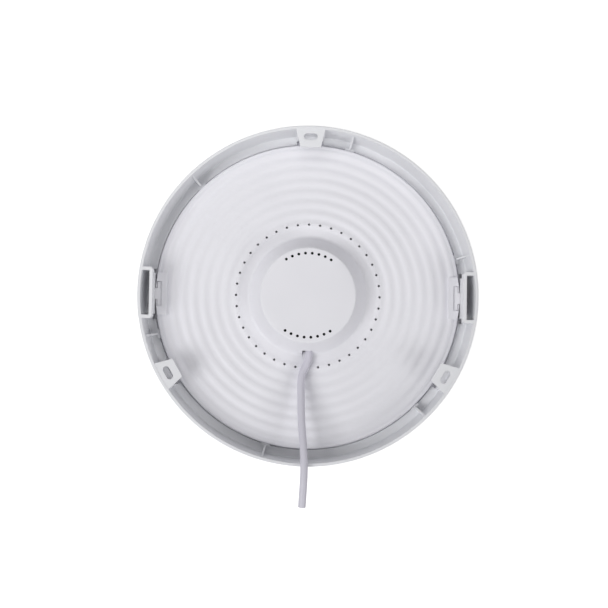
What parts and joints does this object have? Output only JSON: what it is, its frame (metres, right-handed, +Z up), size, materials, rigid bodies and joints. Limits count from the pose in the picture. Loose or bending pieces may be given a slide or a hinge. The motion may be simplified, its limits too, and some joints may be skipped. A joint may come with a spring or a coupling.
{
  "type": "ceiling light",
  "caption": "Slim round surface light: a corrugated, vented lamp unit with a driver dome, held by sliding latches in a ring with slotted screw tabs, and fed by a short cord.",
  "frame": {"origin": "centre of the ceiling plane, which is the top of the mounting ring's rim", "axes": "+Z up into the ceiling, the light shines towards -Z; the cord leaves towards -Y and the latches are on X"},
  "size_m": [0.225, 0.2511, 0.0399],
  "materials": {
    "ring_plastic": "satin",
    "cover_plastic": "satin",
    "opal_plastic": "satin",
    "latch_plastic": "satin",
    "cord_sheath": "satin",
    "spring_steel": "brushed",
    "board_aluminium": "white lacquer",
    "chip_yellow": "gloss",
    "screw_steel": "plated",
    "white_nylon": "satin",
    "lead_sheath": "satin",
    "black_nylon": "satin",
    "dark_steel": "blackened",
    "insulator_sheet": "matte",
    "circuit_board": "gloss",
    "ferrite": "matte",
    "can_aluminium": "sleeved",
    "film_yellow": "gloss",
    "black_epoxy": "satin",
    "fuse_body": "gloss",
    "core_sheath": "satin",
    "terminal_green": "satin"
  },
  "bodies": {
    "housing": {"mounting_ring": "ring_plastic", "back_cover": "cover_plastic", "diffuser": "opal_plastic", "supply_cord": "cord_sheath", "latch_spring_right": "spring_steel", "latch_spring_left": "spring_steel", "light_board": "board_aluminium", "light_chips": "chip_yellow", "light_board_screws": "screw_steel", "light_connector": "white_nylon", "light_leads": "lead_sheath", "insulator": "insulator_sheet", "driver_board": "circuit_board", "driver_screws": "screw_steel", "transformer": "ferrite", "input_capacitor": "can_aluminium", "output_capacitor": "can_aluminium", "film_capacitor": "film_yellow", "choke": "ferrite", "bridge_rectifier": "black_epoxy", "control_chip": "black_epoxy", "fuse": "fuse_body", "cord_clamp_base": "black_nylon", "cord_clamp_cap": "black_nylon", "cord_clamp_screws": "dark_steel", "cord_tail": "cord_sheath", "supply_cores": "core_sheath", "input_terminal": "terminal_green"},
    "latch_right": {"latch_bolt_right": "latch_plastic"},
    "latch_left": {"latch_bolt_left": "latch_plastic"}
  },
  "joints": [
    {"name": "latch_right", "type": "slide", "parent": "housing", "child": "latch_right", "axis": [-1, 0, 0], "range_m": [0, 0.0022], "stiffness_N_per_m": 800, "deforming": ["latch_spring_right"]},
    {"name": "latch_left", "type": "slide", "parent": "housing", "child": "latch_left", "axis": [1, 0, 0], "range_m": [0, 0.0022], "stiffness_N_per_m": 800, "deforming": ["latch_spring_left"]}
  ]
}
